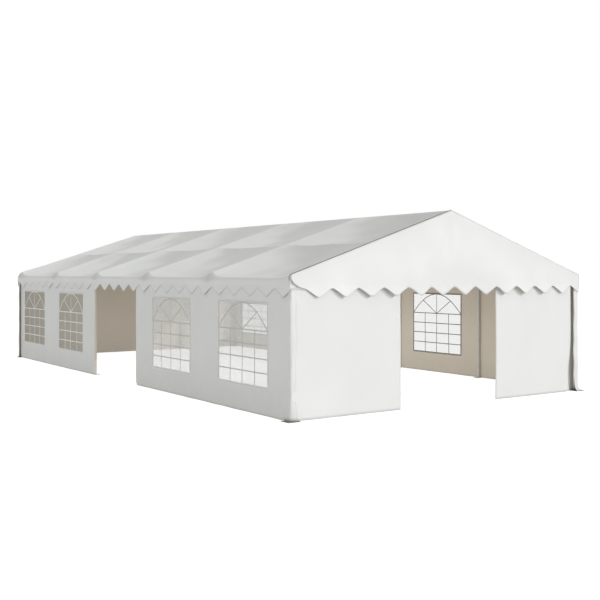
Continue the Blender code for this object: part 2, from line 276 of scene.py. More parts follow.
def steel_material(name, colour, roughness, grimy=True):
    """Hot-dip galvanised tube: zinc spangle and dull streaks, some of it grimy near the ground."""
    made, tree, shader = new_material(name)
    where = tree.nodes.new("ShaderNodeTexCoord")
    spangle = add_node(tree, "ShaderNodeTexVoronoi", Scale=90.0)
    tree.links.new(where.outputs["Object"], spangle.inputs["Vector"])
    tone = ramp(
        tree, spangle.outputs["Color"],
        [(0.2, scaled(colour, 0.82)), (0.8, scaled(colour, 1.08))],
    )
    split = tree.nodes.new("ShaderNodeSeparateXYZ")
    tree.links.new(where.outputs["Object"], split.inputs["Vector"])
    dirt = 0.32 if grimy else 0.94
    grime = ramp(
        tree, split.outputs["Z"],
        [(0.0, scaled((1.0, 1.0, 0.97), dirt)), (0.03, scaled((1.0, 1.0, 0.98), dirt * 1.06)),
         (0.12, (1.0, 1.0, 1.0))],
    )
    mix = tree.nodes.new("ShaderNodeMix")
    mix.data_type = "RGBA"
    mix.blend_type = "MULTIPLY"
    mix.inputs["Factor"].default_value = 1.0
    tree.links.new(tone, mix.inputs[6])
    tree.links.new(grime, mix.inputs[7])
    tree.links.new(mix.outputs[2], shader.inputs["Base Color"])
    shader.inputs["Metallic"].default_value = 0.45
    dull = add_node(tree, "ShaderNodeTexNoise", Scale=14.0, Detail=4.0)
    tree.links.new(where.outputs["Object"], dull.inputs["Vector"])
    rough = math_node(tree, "MULTIPLY_ADD", dull.outputs["Fac"], 0.25)
    rough.node.inputs[2].default_value = roughness - 0.12
    tree.links.new(rough, shader.inputs["Roughness"])
    bump = add_node(tree, "ShaderNodeBump", Strength=0.12, Distance=0.0006)
    tree.links.new(spangle.outputs["Distance"], bump.inputs["Height"])
    tree.links.new(bump.outputs["Normal"], shader.inputs["Normal"])
    return made


def finish(name):
    """A finish of the tent by its name, made the first time that it is asked for."""
    made = bpy.data.materials.get(name)
    if made:
        return made
    looks = bpy.context.scene.marquee_looks
    makers = {
        "cloth_outside": lambda n: cloth_material(n, looks.cloth, 0.52),
        # The roof's cloth takes painted shade from the cover's attribute.
        "roof_cloth": lambda n: cloth_material(n, looks.cloth, 0.50, False, shade_painted=True),
        "gable_cloth": lambda n: cloth_material(n, looks.gable, 0.52, ground_shade=False),
        "cloth_inside": lambda n: cloth_material(n, looks.lining, 0.62),
        "cloth_trim": lambda n: cloth_material(n, looks.trim, 0.45, ground_shade=False),
        "window_film": lambda n: film_material(n, looks.film, looks.film_alpha),
        "hazy_film": lambda n: film_material(n, looks.hazy_film, looks.lit_film_alpha),
        "window_bars": lambda n: cloth_material(n, looks.bars, 0.40, ground_shade=False),
        "pale_bars": lambda n: cloth_material(n, looks.pale_bars, 0.40, ground_shade=False),
        "bar_backs": lambda n: cloth_material(n, looks.bar_backs, 0.50, ground_shade=False),
        "verge_groove": lambda n: cloth_material(n, looks.verge_shadow_colour, 0.70, ground_shade=False),
        "galvanised": lambda n: steel_material(n, looks.steel, 0.50),
        "clean_steel": lambda n: steel_material(n, looks.clean_steel, 0.50, grimy=False),
    }
    return makers[name](name)


def sheet_mesh(name, points, uvs, keep=None):
    """A mesh over a grid of points, indexed [row, column], with a UV map in metres.

    Its faces point to the side that columns crossed with rows give. keep says which cells
    of the grid are cloth.
    """
    rows, columns = points.shape[:2]
    index = np.arange(rows * columns).reshape(rows, columns)
    quads = np.stack([index[:-1, :-1], index[:-1, 1:], index[1:, 1:], index[1:, :-1]], axis=-1)
    if keep is not None:
        quads = quads[keep]
    quads = quads.reshape(-1, 4)
    used, quads = np.unique(quads, return_inverse=True)
    quads = quads.reshape(-1, 4)
    mesh = bpy.data.meshes.new(name)
    mesh.from_pydata(points.reshape(-1, 3)[used].tolist(), [], quads.tolist())
    layer = mesh.uv_layers.new(name="cloth_metres")
    flat = uvs.reshape(-1, 2)[used]
    layer.data.foreach_set("uv", flat[quads.reshape(-1)].reshape(-1).astype(np.float32))
    mesh.shade_smooth()
    mesh.update()
    return mesh


def place(name, mesh, finishes, slot):
    """Links a piece, gives it its finishes and lets it ride on the tent."""
    piece = bpy.data.objects.new(name, mesh)
    bpy.context.scene.collection.objects.link(piece)
    for each in finishes:
        mesh.materials.append(finish(each))
    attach(piece, BODY)
    return piece


def apply_modifiers(piece):
    bpy.ops.object.select_all(action="DESELECT")
    piece.select_set(True)
    bpy.context.view_layer.objects.active = piece
    for modifier in list(piece.modifiers):
        bpy.ops.object.modifier_apply(modifier=modifier.name)
    piece.select_set(False)


def thicken(piece, thickness=CLOTH, offset=-1.0, lined=True):
    """Gives a sheet its thickness inwards. Its inner face takes the second finish."""
    solid = piece.modifiers.new("thickness", "SOLIDIFY")
    solid.thickness = thickness
    solid.offset = offset
    solid.use_even_offset = False
    if lined:
        solid.material_offset = 1
    apply_modifiers(piece)


def scallop(at, shift, roundness):
    """The height of a scalloped hem: pointed tips down, peaks between them.

    roundness from 0 for a plain zigzag to 1 for a wave.
    """
    phase = (np.asarray(at, float) - shift) / PITCH
    zigzag = 2 * np.abs(phase - np.round(phase))
    wave = 0.5 - 0.5 * np.cos(2 * np.pi * phase)
    height = (1 - roundness) * zigzag + roundness * wave
    return HEM_TIP + (HEM_VALLEY - HEM_TIP) * height


def stops_between(low, high, fixed, step):
    """Ascending places from low to high that include the fixed ones, about a step apart."""
    marks = sorted({low, high, *(f for f in fixed if low < f < high)})
    places = []
    for a, b in zip(marks, marks[1:]):
        count = max(1, math.ceil((b - a) / step - 1e-6))
        places.extend(a + (b - a) * k / count for k in range(count))
    return np.array([*places, marks[-1]])


def near_rafter(y, reach, rafters=tuple(RAFTER_Y)):
    """1 at each rafter, falling off from a narrow crest to about 0 that far from it."""
    weight = 0.0
    for rafter in rafters:
        away = np.sqrt((y - rafter) ** 2 + CREST ** 2) - CREST
        weight = np.maximum(weight, np.exp(-2.2 * (away / reach) ** 1.3))
    return weight


class RoofShape:
    """The cover over the frame, as a surface over the way down the slope and along the tent.

    A half cross-section runs from the ridge to the hem. Over a rafter it is straight down to a
    rounded corner. Between rafters it sags from ridge to purlin and from purlin to eave beam,
    and folds sharply over the beam.
    """

    BEND_STEPS = 8
    HANG_STEPS = 9

    def __init__(self, sizes):
        self.sizes = sizes
        near = np.linspace(-0.20, 0.20, 15)
        self.slope_x = np.concatenate([
            np.linspace(0.0, PURLIN_X - 0.23, 19), PURLIN_X + near, np.linspace(1.80, 2.90, 19),
        ])
        self.over_end = self.section(sizes.corner_drop, sizes.end_fold)
        self.over_middle = self.section(sizes.rafter_drop, sizes.corner_fold)
        beam = (EAVE_BEAM.x + 0.006, EAVE_BEAM.z + 0.001)
        self.between = self.section(None, sizes.eave_fold, beam)
        self.count = len(self.over_end)

    def section(self, drop, fold, beam=None):
        """Points (x, z) from the ridge to the end of the fold at the eave.

        The fold is either round a beam or in the corner of the slope and the upright part.
        """
        if beam is None:
            slope = math.atan(drop / HALF_WIDTH)
            middle_x = COVER_X - fold
            middle_z = RIDGE_Z - drop / HALF_WIDTH * middle_x - fold / math.cos(slope)
        else:
            middle_x, middle_z = beam
            slope = SLOPE
        turn = math.pi / 2 - slope
        end_x = middle_x + fold * math.cos(turn)
        end_z = middle_z + fold * math.sin(turn)
        lower = 1.80 + (self.slope_x - 1.80) * (end_x - 1.845) / 1.10
        x = np.where(self.slope_x > 1.80, lower, self.slope_x)
        line = RIDGE_Z + (end_z - RIDGE_Z) * x / end_x
        if beam is not None:
            purlin_z = RIDGE_Z - math.tan(SLOPE) * PURLIN_X - self.sizes.purlin_drop
            line = np.interp(x, [0.0, PURLIN_X, end_x], [RIDGE_Z, purlin_z, end_z])
        angle = turn * (1 - np.arange(self.BEND_STEPS + 1) / self.BEND_STEPS)
        round_x = middle_x + fold * np.cos(angle)
        round_z = middle_z + fold * np.sin(angle)
        return np.stack([np.append(x, round_x), np.append(line, round_z)], axis=1)

    def sag(self, x, y):
        """How far the cloth hangs below the straight line, in each field between supports."""
        bay = (y + HALF_LENGTH) / BAY
        number = np.clip(np.floor(bay), 0, BAYS - 1)
        along = np.clip(bay - number, 0.0, 1.0)
        upper = x < PURLIN_X
        across = np.where(upper, x / PURLIN_X, (x - PURLIN_X) / (EAVE_BEAM.x - PURLIN_X))
        across = np.clip(across, 0.0, 1.0)
        uneven = 1 + 0.20 * np.sin(number * 2.3 + np.where(upper, 0.0, 1.7))
        depth = np.where(upper, self.sizes.upper_sag, self.sizes.sag) * uneven
        field = 4 * along * (1 - along) * 4 * across * (1 - across)
        over_tube = np.exp(-np.abs(x - PURLIN_X) / 0.055) * smooth(0.0, 0.25, self.free(y))
        return depth * field - self.sizes.purlin_crease * over_tube

    def hem_height(self, y):
        return scallop(y, SIDE_SHIFT, self.sizes.side_roundness)

    def surface(self, y, side):
        """Points [y, section] of one side, side being -1 for left and 1 for right."""
        y = np.asarray(y, float)[:, None]
        reach = self.sizes.knuckle_reach
        above = np.clip((2.75 - self.over_end[None, :, 0]) / 0.5, 0, 1)
        section = np.broadcast_to(self.between, (len(y), *self.between.shape))
        for over, rafters in ((self.over_end, RAFTER_Y[:1]), (self.over_middle, RAFTER_Y[1:])):
            close = near_rafter(y, reach, rafters)
            wide = near_rafter(y, reach * 1.8, rafters)
            blend = (close * (1 - above) + wide * above)[..., None]
            section = blend * over[None] + (1 - blend) * section
        x = section[..., 0] + self.bulge(section[..., 0], y)
        z = section[..., 1]
        on_slope = np.arange(self.count)[None, :] < len(self.slope_x)
        drop = self.sag(x, y)
        calm = smooth(0.0, 0.20, x) * smooth(0.0, 0.12, self.free(y)) * (1 - smooth(2.7, 2.9, x))
        broad = soft_waves(x * 1.4, y + side * 3.0, 0.80, 11)
        pull = soft_waves(x, y * 1.6 + x * 1.3, 0.36, 12)
        ripple = self.sizes.roof_ripple * (broad + 0.45 * pull)
        drop = (drop + ripple * calm) * on_slope
        x = x - drop * math.sin(SLOPE)
        z = z - drop * math.cos(SLOPE)
        hang = self.hanging(y, x[:, -1:], z[:, -1:])
        x = np.concatenate([x, hang[0]], axis=1)
        z = np.concatenate([z, hang[1]], axis=1)
        return np.stack([side * x, np.broadcast_to(y, x.shape), z], axis=-1)

    def bulge(self, x, y):
        """How far the last rafter's ends push the cover outwards."""
        return self.sizes.rear_bulge * smooth(5.66, 5.96, y) * smooth(2.3, 2.95, x)

    def painted_shade(self, y):
        """How much painted shade darkens the cloth at each point, 0 being none.

        Each field is painted darker towards the front gable and the upper edge, where the sagging
        cloth would lie in shade, and so is the cloth that bends over a rafter's end, whose fold is
        in shade; a line of painted shade also runs along the fold over the eave beam.
        """
        y = np.asarray(y, float)[:, None]
        bay = (y + HALF_LENGTH) / BAY
        along = bay - np.clip(np.floor(bay), 0, BAYS - 1)
        x = self.between[None, :, 0]
        lower = (x - PURLIN_X) / (EAVE_BEAM.x - PURLIN_X)
        across = np.clip(np.where(x < PURLIN_X, x / PURLIN_X, lower), 0.0, 1.0)
        uneven = 0.10 * soft_waves(x, y, 0.8, 61)
        field = smooth(0.26, -0.26, along - 0.82 + 0.55 * across + uneven)
        index = np.arange(self.count)[None, :]
        bend = (index - len(self.slope_x)) / self.BEND_STEPS
        field = field * smooth(0.0, -0.20, bend)
        over_end = near_rafter(y, 0.27, RAFTER_Y[1:])
        lens = over_end * smooth(-0.02, 0.30, bend) * smooth(1.25, 0.75, bend)
        line = smooth(0.1, 0.5, bend) * smooth(1.2, 0.8, bend)
        dull = self.sizes.painted_shade * (field + 1.3 * lens + 0.5 * line * (1 - over_end))
        hang = np.zeros((len(y), self.HANG_STEPS))
        return np.concatenate([dull, hang], axis=1)

    def free(self, y):
        """How far y is from the nearest rafter."""
        return np.min([np.abs(y - rafter) for rafter in RAFTER_Y], axis=0)

    def hanging(self, y, top_x, top_z):
        """The valance, from the fold down to its scalloped hem."""
        hem = self.hem_height(y)
        down = np.arange(1, self.HANG_STEPS + 1)[None, :] / self.HANG_STEPS
        z = top_z + (hem - top_z) * down
        stand = self.stand_off(y)
        below = np.clip((HANG_TOP - z) / (HANG_TOP - HEM_TIP), 0.0, 1.0)
        rest_x = COVER_X + 0.0004 + self.bulge(COVER_X, y)
        lean = smooth(0.0, 0.10, top_z - z)
        x = top_x + (rest_x - top_x) * lean + stand * below ** 1.3
        return x, z

    def stand_off(self, y):
        """How far the hem stands from the wall: most near the rafters."""
        near = near_rafter(y, self.sizes.hem_stand_reach)
        flutter = 0.5 + 0.5 * soft_waves(y, 0.0 * y, 0.9, 21, 3)
        return self.sizes.hem_stand * (near * 0.90 + 0.02 * flutter)


def roof_columns():
    """Places along the tent for the cover's grid, on every tip and peak of the hem."""
    half = PITCH / 2
    first = math.ceil((-ROOF_END - SIDE_SHIFT) / half)
    last = math.floor((ROOF_END - SIDE_SHIFT) / half)
    marks = [SIDE_SHIFT + k * half for k in range(first, last + 1)]
    return stops_between(-ROOF_END, ROOF_END, marks, 0.048)


class MARQUEE_PG_looks(bpy.types.PropertyGroup):
    """Colours of the finishes."""

    def colour(label, text, value):
        return bpy.props.FloatVectorProperty(
            name=label, description=text, subtype="COLOR", size=3, min=0.0, max=1.0, default=value
        )

    cloth: colour("Cloth", "Outer face of the coated cloth", (0.70, 0.71, 0.69))
    lining: colour("Lining", "Inner face of the cloth", (0.73, 0.67, 0.578))
    trim: colour("Trim", "Weld strips, hems and straps", (0.70, 0.71, 0.69))
    gable: colour("Gable cloth", "Outer face of the end walls and gables", (0.715, 0.722, 0.702))
    film: colour("Film", "Haze of the window film", (0.42, 0.44, 0.41))
    # A paler, more opaque copy of the film: painted light on the front left windows.
    hazy_film: colour("Hazy film", "Film that lies in the light", (0.86, 0.87, 0.84))
    bars: colour("Bars", "Outer face of the printed lattice", (0.50, 0.51, 0.48))
    # A lighter copy of the lattice print: painted light on the rear windows' bars.
    pale_bars: colour("Pale bars", "Outer face of the rear windows' lattice", (0.80, 0.80, 0.74))
    # Painted shade: the lattice's inner face is dark, as a bar seen against bright film.
    bar_backs: colour("Bar backs", "Inner face of the printed lattice", (0.20, 0.20, 0.18))
    # Painted shadow: a dark cord stands for the shadow line between the front gable and the cover.
    verge_shadow_colour: colour("Verge shadow", "Shadowed welt behind the gable edges", (0.16, 0.17, 0.16))
    steel: colour("Steel", "Galvanised tube", (0.56, 0.57, 0.565))
    # A paler copy of the steel: painted light on the middle posts.
    clean_steel: colour("Lit steel", "Galvanised tube away from the corners", (0.72, 0.72, 0.70))
    film_alpha: bpy.props.FloatProperty(
        name="Film haze", description="How much the film hides what is behind it",
        min=0.0, max=1.0, default=0.20,
    )
    # The lit copy's opacity, part of the painted light on the front left windows.
    lit_film_alpha: bpy.props.FloatProperty(
        name="Hazy film's haze", description="How much the hazy film hides what is behind it",
        min=0.0, max=1.0, default=0.40,
    )


class MARQUEE_PG_cover(bpy.types.PropertyGroup):
    """Sizes of the roof cover and its hems."""

    sag: bpy.props.FloatProperty(
        name="Sag", description="Deepest sag between purlin and eave",
        unit="LENGTH", default=0.050,
    )
    purlin_drop: bpy.props.FloatProperty(
        name="Purlin drop", description="How far the cloth over a purlin lies below the slope",
        unit="LENGTH", default=0.0015,
    )
    upper_sag: bpy.props.FloatProperty(
        name="Upper sag", description="Deepest sag between ridge and purlin",
        unit="LENGTH", default=0.044,
    )
    purlin_crease: bpy.props.FloatProperty(
        name="Purlin crease", description="How far a purlin pushes the cloth up",
        unit="LENGTH", default=0.004,
    )
    corner_drop: bpy.props.FloatProperty(
        name="Eave drop", description="Height of the ridge above the rafters' ends",
        unit="LENGTH", default=1.005,
    )
    corner_fold: bpy.props.FloatProperty(
        name="Corner fold", description="Radius of the cloth over a middle rafter's end",
        unit="LENGTH", default=0.17,
    )
    rafter_drop: bpy.props.FloatProperty(
        name="Rafter drop", description="Height of the ridge above a middle rafter's end",
        unit="LENGTH", default=0.985,
    )
    rear_bulge: bpy.props.FloatProperty(
        name="Rear bulge", description="How far the last rafter pushes the cover outwards",
        unit="LENGTH", default=0.045,
    )
    # Painted shade on the roof: how much the cover's attribute darkens the fields and folds.
    painted_shade: bpy.props.FloatProperty(
        name="Painted shade", description="How much duller the worn fields of the roof are",
        min=0.0, max=1.0, default=0.18,
    )
    end_fold: bpy.props.FloatProperty(
        name="End fold", description="Radius of the cloth over the first and last rafters' ends",
        unit="LENGTH", default=0.045,
    )
    knuckle_reach: bpy.props.FloatProperty(
        name="Knuckle reach", description="How far from a rafter its bump shows",
        unit="LENGTH", default=0.34,
    )
    eave_fold: bpy.props.FloatProperty(
        name="Eave fold", description="Radius of the fold over the eave beam",
        unit="LENGTH", default=0.032,
    )
    roof_ripple: bpy.props.FloatProperty(
        name="Ripple", description="Height of the soft creases on the roof",
        unit="LENGTH", default=0.0036,
    )
    hem_stand: bpy.props.FloatProperty(
        name="Hem stand-off", description="How far the side hem stands from the wall",
        unit="LENGTH", default=0.026,
    )
    hem_stand_reach: bpy.props.FloatProperty(
        name="Stand-off reach", description="How far from a rafter the hem stands off",
        unit="LENGTH", default=0.80,
    )
    side_roundness: bpy.props.FloatProperty(
        name="Side scallops", description="0 for a zigzag hem, 1 for a wave",
        min=0.0, max=1.0, default=0.12,
    )
    gable_roundness: bpy.props.FloatProperty(
        name="Gable scallops", description="0 for a zigzag hem, 1 for a wave",
        min=0.0, max=1.0, default=0.40,
    )
    gable_stand: bpy.props.FloatProperty(
        name="Gable stand-off", description="How far the gable's hem stands from the wall",
        unit="LENGTH", default=0.058,
    )
    gable_fold: bpy.props.FloatProperty(
        name="Gable folds", description="Depth of the soft folds below the apex",
        unit="LENGTH", default=0.014,
    )


class MARQUEE_PG_walls(bpy.types.PropertyGroup):
    """Sizes of the hung walls and their windows."""

    fold: bpy.props.FloatProperty(
        name="Folds", description="Depth of the soft folds of a hung wall",
        unit="LENGTH", default=0.008,
    )
    round_corner: bpy.props.FloatProperty(
        name="Rounded corners", description="Radius of a doorway's lower cloth corners",
        unit="LENGTH", default=0.06,
    )
    door_return: bpy.props.FloatProperty(
        name="Doorway return", description="How far a wall turns in round a doorway's post",
        unit="LENGTH", default=0.05,
    )
    wrap: bpy.props.FloatProperty(
        name="Corner wrap", description="How far a side wall turns onto the gable",
        unit="LENGTH", default=0.10,
    )
    corner: bpy.props.FloatProperty(
        name="Corner radius", description="Radius of the cloth round a corner post",
        unit="LENGTH", default=0.028,
    )
    bar_width: bpy.props.FloatProperty(
        name="Bar width", description="Width of the lattice bars on the windows",
        unit="LENGTH", default=0.017,
    )
    border: bpy.props.FloatProperty(
        name="Border", description="Width of the weld round each window",
        unit="LENGTH", default=0.018,
    )


class PlanPath:
    """A way round the outside of the tent, with rounded corners, seen from above.

    It runs anticlockwise, so the outside is on its right.
    """

    def __init__(self, corners, radius):
        points = [np.array(c, float) for c in corners]
        line = [points[0]]
        for before, at, after in zip(points, points[1:], points[2:]):
            into = (at - before) / np.linalg.norm(at - before)
            out = (after - at) / np.linalg.norm(after - at)
            start = at - into * radius
            for k in range(9):
                angle = math.pi / 2 * k / 8
                line.append(start + into * radius * math.sin(angle) + out * radius * (1 - math.cos(angle)))
        line.append(points[-1])
        line = np.array(line)
        steps = np.linalg.norm(np.diff(line, axis=0), axis=1)
        self.distance = np.concatenate([[0.0], np.cumsum(steps)])
        self.line = line
        self.length = float(self.distance[-1])
        ways = np.diff(line, axis=0) / steps[:, None]
        ways = np.concatenate([ways[:1], (ways[:-1] + ways[1:]) / 2, ways[-1:]])
        ways /= np.linalg.norm(ways, axis=1)[:, None]
        self.outward = np.stack([ways[:, 1], -ways[:, 0]], axis=1)

    def at(self, d):
        place = [np.interp(d, self.distance, self.line[:, k]) for k in (0, 1)]
        outward = [np.interp(d, self.distance, self.outward[:, k]) for k in (0, 1)]
        return np.stack(place, axis=-1), np.stack(outward, axis=-1)

    def distance_to(self, axis, value):
        """The distance at which the straight part of the path passes that x or y."""
        close = np.argmin(np.abs(self.line[:, axis] - value))
        spans = range(len(self.line) - 1)
        for k in spans:
            a, b = self.line[k, axis], self.line[k + 1, axis]
            if min(a, b) <= value <= max(a, b) and abs(b - a) > 1e-6:
                share = (value - a) / (b - a)
                return self.distance[k] + share * (self.distance[k + 1] - self.distance[k])
        return self.distance[close]


class WallShape:
    """A hung wall: its plan path, its soft folds and the form of its free edges.

    Each loose part is a place along the wall, a reach, a depth and a seed. Each splay is a
    place, a reach and how far the foot kicks outwards there. rounded names the free ends
    whose lower corner is rounded off.
    """

    def __init__(self, path, sizes, seed, top=1.865, loose=(), splay=(), rounded=()):
        self.path = path
        self.sizes = sizes
        self.seed = seed
        self.foot = 0.0
        self.top = top
        self.loose = loose
        self.splay = splay
        self.rounded = rounded

    def depth(self, d, z):
        """How far the cloth stands out at a place, folds included."""
        low = 1 - smooth(0.2, self.top, z)
        broad = soft_waves(d * 1.4, z * 0.45, 0.95, self.seed)
        narrow = soft_waves(d, z * 0.3, 0.34, self.seed + 1)
        folds = self.sizes.fold * (0.35 + 0.65 * low) * (0.8 * broad + 0.2 * narrow)
        folds = KEEP_OFF + 0.002 * np.logaddexp(0.0, (folds - KEEP_OFF) / 0.002)
        for centre, reach, rise, seed in self.loose:
            share = np.exp(-(((d - centre) / reach) ** 2))
            waves = 0.55 + 0.45 * soft_waves(z * 1.0, d * 0.5, 0.42, seed, 4)
            folds = folds + rise * share * waves * smooth(self.top, self.top - 0.35, z)
        for centre, reach, kick in self.splay:
            share = np.exp(-(((d - centre) / reach) ** 4))
            folds = folds + kick * share * np.exp(-z / 0.035)
        return folds * smooth(self.top - 0.03, self.top - 0.34, z)

    def point(self, d, z, out=0.0):
        """Points on the cloth, out being the distance outside its outer face."""
        d, z = np.broadcast_arrays(np.asarray(d, float), np.asarray(z, float))
        place, outward = self.path.at(d)
        lift = self.depth(d, z) + out
        xy = place + outward * lift[..., None]
        return np.concatenate([xy, z[..., None]], axis=-1)


class Hole:
    """A window: its span along the wall and its foot and top."""

    def __init__(self, start, stop):
        self.start, self.stop = sorted((start, stop))


def over_plates(place):
    """1 where a point of the plan is over a corner's foot plate, falling softly to 0."""
    reach = 0.0
    for x in (-POST_X, POST_X):
        for y in (-END_POST_Y, END_POST_Y):
            far = np.maximum(np.abs(place[..., 0] - x), np.abs(place[..., 1] - y))
            reach = np.maximum(reach, 1 - smooth(0.11, 0.17, far))
    return reach


def foot_lift(shape, d):
    """How far the lower edge is above the ground: over plates, and at rounded free corners."""
    place, _ = shape.path.at(d)
    lift = 0.002 + 0.008 * over_plates(place)
    for end in shape.rounded:
        away = np.abs(d - (0.0 if end == "start" else shape.path.length))
        inside = np.clip(1 - away / shape.sizes.round_corner, 0.0, 1.0)
        lift = lift + shape.sizes.round_corner * (1 - np.sqrt(1 - inside ** 2))
    return lift


def wall_piece(
    name, shape, holes=(), edge_start=None, edge_stop=None, step=0.045, outer="cloth_outside",
    shaded_from=None,
):
    """The mesh of a wall, with its windows left open.

    edge_start and edge_stop give how far a free edge moves along the wall at each height.
    Past the distance shaded_from both faces take the darker lining finish: painted shade on the cloth that
    turns in round a doorway's post.
    """
    marks = [e for hole in holes for e in (hole.start, hole.stop)]
    corner = [d for d in shape.path.distance[1:-1]]
    d = stops_between(0.0, shape.path.length, [*marks, *corner], step)
    z = stops_between(shape.foot, shape.top, [WINDOW_FOOT, WINDOW_TOP], step)
    grid_d, grid_z = np.meshgrid(d, z)
    keep = np.ones((len(z) - 1, len(d) - 1), bool)
    middle_d = (d[:-1] + d[1:]) / 2
    middle_z = (z[:-1] + z[1:]) / 2
    for hole in holes:
        inside_d = (middle_d > hole.start) & (middle_d < hole.stop)
        inside_z = (middle_z > WINDOW_FOOT) & (middle_z < WINDOW_TOP)
        keep &= ~(inside_z[:, None] & inside_d[None, :])
    moved = grid_d.copy()
    if edge_start is not None:
        moved += edge_start(grid_z) * (1 - smooth(0.0, 0.45, grid_d))
    if edge_stop is not None:
        moved += edge_stop(grid_z) * (1 - smooth(0.0, 0.45, shape.path.length - grid_d))
    near_foot = 1 - smooth(shape.foot, shape.foot + 0.25, grid_z)
    height = grid_z + foot_lift(shape, grid_d) * near_foot
    points = shape.point(moved, height)
    uvs = np.stack([grid_d, grid_z], axis=-1)
    mesh = sheet_mesh(name, points, uvs, keep)
    if shaded_from is not None:
        past = np.broadcast_to(middle_d > shaded_from, keep.shape)[keep]
        mesh.polygons.foreach_set("material_index", past.astype(np.int32))
    piece = place(name, mesh, [outer, "cloth_inside"], "white_sheet")
    thicken(piece)
    area = (d[-1] - d[0]) * (z[-1] - z[0]) - sum(
        (hole.stop - hole.start) * (WINDOW_TOP - WINDOW_FOOT) for hole in holes
    )
    return piece, (d[-1] - d[0], z[-1] - z[0]), area


def strip_mesh(name, shape, lines, width, thickness, out, outer=0):
    """Flat strips on a wall's surface. Each line is a list of (d, z) points.

    The face of a strip that looks into the tent takes the second finish, and the others take
    the one whose number is outer.
    """
    bm = bmesh.new()
    for line in lines:
        line = np.array(line, float)
        ways = np.gradient(line, axis=0)
        ways /= np.linalg.norm(ways, axis=1)[:, None]
        across = np.stack([-ways[:, 1], ways[:, 0]], axis=1) * width / 2
        rings = []
        for centre, side in zip(line, across):
            ring = []
            for sign, level in ((1, out), (1, out + thickness), (-1, out + thickness), (-1, out)):
                spot = centre + sign * side
                ring.append(bm.verts.new(shape.point(spot[0], spot[1], level)))
            rings.append(ring)
        for first, second in zip(rings, rings[1:]):
            for k in range(4):
                j = (k + 1) % 4
                face = bm.faces.new((first[k], first[j], second[j], second[k]))
                face.material_index = 1 if k == 3 else outer
        for ring in (rings[0], rings[-1][::-1]):
            bm.faces.new(ring).material_index = outer
    bmesh.ops.recalc_face_normals(bm, faces=bm.faces)
    mesh = bpy.data.meshes.new(name)
    bm.to_mesh(mesh)
    bm.free()
    return mesh


def straight(a, b, step=0.05):
    """Points of a straight line from a to b."""
    a, b = np.array(a, float), np.array(b, float)
    count = max(1, math.ceil(np.linalg.norm(b - a) / step))
    return [a + (b - a) * k / count for k in range(count + 1)]


def lattice_lines(hole):
    """Lines of a window's bars: a grid of panes below an arch with three spokes."""
    width = hole.stop - hole.start
    base = WINDOW_FOOT + (WINDOW_TOP - WINDOW_FOOT) * 2 / 3
    rows = 4
    columns = 4
    middle = (hole.start + hole.stop) / 2
    flats = [
        straight((hole.start, z), (hole.stop, z))
        for z in (WINDOW_FOOT + (base - WINDOW_FOOT) * k / rows for k in range(1, rows + 1))
    ]
    uprights = [
        straight((d, WINDOW_FOOT), (d, base))
        for d in (hole.start + width * k / columns for k in range(1, columns))
    ]
    rise = WINDOW_TOP - base
    half = width / 2
    arch = [
        np.array([middle + half * t, base + rise * 0.985 * (1 - t * t)])
        for t in np.linspace(-1, 1, 41)
    ]
    spokes = [straight((middle, base), (middle, base + rise * 0.985))]
    for sign in (-1, 1):
        end = (middle + sign * half * 0.58, base + rise * 0.985 * (1 - 0.58 ** 2))
        spokes.append(straight((middle, base), end))
    return flats, uprights, arch, spokes


def border_lines(hole, inset):
    """The four sides of a frame just inside a window's edge."""
    low, high = WINDOW_FOOT + inset, WINDOW_TOP - inset
    left, right = hole.start + inset, hole.stop - inset
    return [
        straight((left, WINDOW_FOOT), (left, WINDOW_TOP)),
        straight((right, WINDOW_FOOT), (right, WINDOW_TOP)),
        straight((hole.start, low), (hole.stop, low)),
        straight((hole.start, high), (hole.stop, high)),
    ]


def join_meshes(name, meshes):
    """One mesh from several that are all in place."""
    bm = bmesh.new()
    for mesh in meshes:
        bm.from_mesh(mesh)
        bpy.data.meshes.remove(mesh)
    made = bpy.data.meshes.new(name)
    bm.to_mesh(made)
    bm.free()
    return made


def window_pieces(tag, shape, holes, sizes):
    """The film and the printed bars of one wall's windows."""
    film_parts = []
    bar_parts = []
    depth = -0.0032
    for number, hole in enumerate(holes):
        margin = 0.018
        d = stops_between(hole.start - margin, hole.stop + margin, [], 0.06)
        z = stops_between(WINDOW_FOOT - margin, WINDOW_TOP + margin, [], 0.06)
        grid_d, grid_z = np.meshgrid(d, z)
        points = shape.point(grid_d, grid_z, depth)
        film_parts.append(sheet_mesh("film", points, np.stack([grid_d, grid_z], axis=-1)))
        flats, uprights, arch, spokes = lattice_lines(hole)
        width = sizes.bar_width
        bar_parts.append(strip_mesh("flats", shape, flats, width, 0.0012, depth + 0.0003))
        bar_parts.append(strip_mesh("uprights", shape, uprights, width, 0.0010, depth + 0.0003))
        bar_parts.append(strip_mesh("arch", shape, [arch], width, 0.0014, depth + 0.0003))
        bar_parts.append(strip_mesh("spokes", shape, spokes, width * 0.9, 0.0008, depth + 0.0003))
        border = border_lines(hole, sizes.border / 2 - 0.006)
        backing = strip_mesh("backing", shape, border, sizes.border, 0.0006, depth - 0.0014, 2)
        weld = strip_mesh("weld", shape, border, sizes.border * 0.9, 0.0010, depth + 0.0005, 2)
        bar_parts.extend((backing, weld))
    film_mesh = join_meshes(f"window_film_{tag}", film_parts)
    # The front left windows take the lit copy of the film: painted light.
    clearness = "hazy_film" if tag == "left_front" else "window_film"
    film = place(f"window_film_{tag}", film_mesh, [clearness], "clear_film")
    film_mesh.shade_smooth()
    thicken(film, thickness=0.0006, lined=False)
    bars_mesh = join_meshes(f"window_bars_{tag}", bar_parts)
    # The rear windows' bars take the lighter copy of the print: painted light.
    outer = "window_bars" if tag.endswith("front") else "pale_bars"
    # The inner faces of the bars and borders take painted shade.
    finishes = [outer, "bar_backs", "cloth_outside"]
    bars = place(f"window_bars_{tag}", bars_mesh, finishes, "white_sheet")
    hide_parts(f"film_{tag}")
    return film, bars


